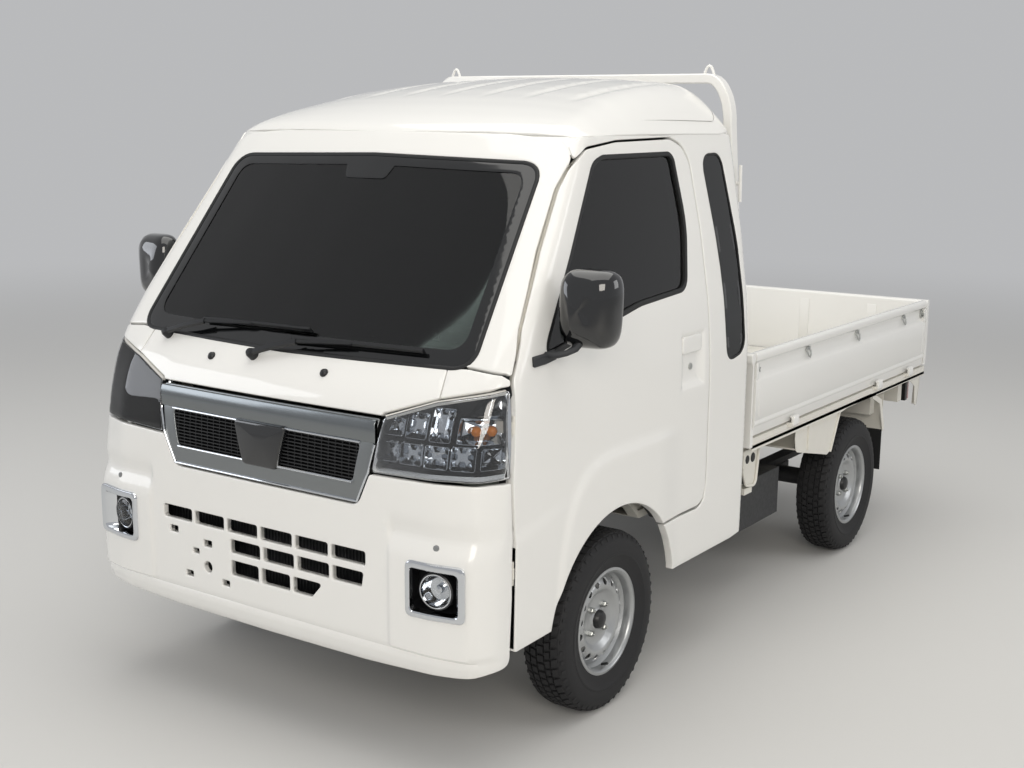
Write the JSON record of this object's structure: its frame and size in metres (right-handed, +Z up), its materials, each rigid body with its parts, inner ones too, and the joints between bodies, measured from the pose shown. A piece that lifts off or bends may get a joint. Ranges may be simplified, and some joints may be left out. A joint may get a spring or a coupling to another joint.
{
  "type": "kei truck",
  "caption": "Small cab-over truck with a high-roof two-seat cab, a flat drop-side bed, a tubular guard frame and steel wheels.",
  "frame": {"origin": "on the ground below the centre of the truck's bounding box", "axes": "+Z up, the truck faces -Y, +X to its left"},
  "size_m": [1.795, 3.3944, 1.8849],
  "materials": {
    "white_paint": "gloss",
    "chassis_paint": "satin",
    "cast_metal": "rough",
    "steel": "satin",
    "chrome_trim": "smoked chrome",
    "lamp": "bright reflector under a clear lens",
    "glass": "clear, slightly green",
    "gloss_black": "gloss",
    "cabin_plastic": "matt",
    "seat_fabric": "woven",
    "tail_lamp": "clear red",
    "rubber": "matt",
    "tyre": "matt",
    "wheel_paint": "silver"
  },
  "bodies": {
    "truck": {"chassis_frame": "chassis_paint", "front_crossmember": "chassis_paint", "front_struts": "chassis_paint", "rear_axle": "chassis_paint", "leaf_springs": "chassis_paint", "bed_crossbeams": "chassis_paint", "propshaft": "chassis_paint", "engine_block": "cast_metal", "exhaust": "steel", "fuel_tank": "chassis_paint", "cab_floor": "white_paint", "front_panel": "white_paint", "front_bumper": "white_paint", "windscreen_frame": "white_paint", "roof_panel": "white_paint", "quarter_panel_left": "white_paint", "quarter_panel_right": "white_paint", "rear_panel": "white_paint", "bed_floor": "white_paint", "headboard": "white_paint", "guard_frame": "white_paint", "grille": "chrome_trim", "headlights": "lamp", "windscreen": "glass", "cab_windows": "glass", "dashboard": "cabin_plastic", "seats": "seat_fabric", "tail_lamps": "tail_lamp", "mudguards": "rubber"},
    "knuckle_left": {"knuckle_left": "cast_metal"},
    "knuckle_right": {"knuckle_right": "cast_metal"},
    "door_left": {"door_left": "white_paint", "door_glass_left": "glass", "mirror_left": "gloss_black"},
    "door_right": {"door_right": "white_paint", "door_glass_right": "glass", "mirror_right": "gloss_black"},
    "gate_left": {"gate_left": "white_paint"},
    "gate_right": {"gate_right": "white_paint"},
    "tailgate": {"tailgate": "white_paint"},
    "steering_wheel": {"steering_wheel": "cabin_plastic"},
    "wheel_front_left": {"tyre_front_left": "tyre", "rim_front_left": "wheel_paint"},
    "wheel_front_right": {"tyre_front_right": "tyre", "rim_front_right": "wheel_paint"},
    "wheel_rear_left": {"tyre_rear_left": "tyre", "rim_rear_left": "wheel_paint"},
    "wheel_rear_right": {"tyre_rear_right": "tyre", "rim_rear_right": "wheel_paint"}
  },
  "joints": [
    {"name": "steer_left", "type": "hinge", "parent": "truck", "child": "knuckle_left", "pos_m": [0.588, -1.0075, 0.2685], "axis": [0, 0, 1], "range_deg": [-35, 35]},
    {"name": "steer_right", "type": "hinge", "parent": "truck", "child": "knuckle_right", "pos_m": [-0.588, -1.0075, 0.2685], "axis": [0, 0, 1], "range_deg": [-35, 35]},
    {"name": "steering_wheel_turn", "type": "hinge", "parent": "truck", "child": "steering_wheel", "pos_m": [-0.33, -1.1575, 1], "axis": [0, 0.8137, 0.5812], "range_deg": [-560, 560]},
    {"name": "door_left_hinge", "type": "hinge", "parent": "truck", "child": "door_left", "pos_m": [0.7275, -1.5235, 0.75], "axis": [0, 0, -1], "range_deg": [0, 65]},
    {"name": "door_right_hinge", "type": "hinge", "parent": "truck", "child": "door_right", "pos_m": [-0.7275, -1.5235, 0.75], "axis": [0, 0, 1], "range_deg": [0, 65]},
    {"name": "gate_left_hinge", "type": "hinge", "parent": "truck", "child": "gate_left", "pos_m": [0.7365, 0.8, 0.641], "axis": [0, 1, 0], "range_deg": [0, 178]},
    {"name": "gate_right_hinge", "type": "hinge", "parent": "truck", "child": "gate_right", "pos_m": [-0.7365, 0.8, 0.641], "axis": [0, -1, 0], "range_deg": [0, 178]},
    {"name": "tailgate_hinge", "type": "hinge", "parent": "truck", "child": "tailgate", "pos_m": [0, 1.6905, 0.641], "axis": [-1, 0, 0], "range_deg": [0, 178]},
    {"name": "wheel_front_left_spin", "type": "hinge", "parent": "knuckle_left", "child": "wheel_front_left", "pos_m": [0.65, -1.0075, 0.2685], "axis": [1, 0, 0], "continuous": true},
    {"name": "wheel_front_right_spin", "type": "hinge", "parent": "knuckle_right", "child": "wheel_front_right", "pos_m": [-0.65, -1.0075, 0.2685], "axis": [1, 0, 0], "continuous": true},
    {"name": "wheel_rear_left_spin", "type": "hinge", "parent": "truck", "child": "wheel_rear_left", "pos_m": [0.65, 0.8925, 0.2685], "axis": [1, 0, 0], "continuous": true},
    {"name": "wheel_rear_right_spin", "type": "hinge", "parent": "truck", "child": "wheel_rear_right", "pos_m": [-0.65, 0.8925, 0.2685], "axis": [1, 0, 0], "continuous": true}
  ],
  "couplings": [
    {"joint": "steer_right", "follows": "steer_left", "ratio": 1},
    {"joint": "steering_wheel_turn", "follows": "steer_left", "ratio": 16}
  ]
}
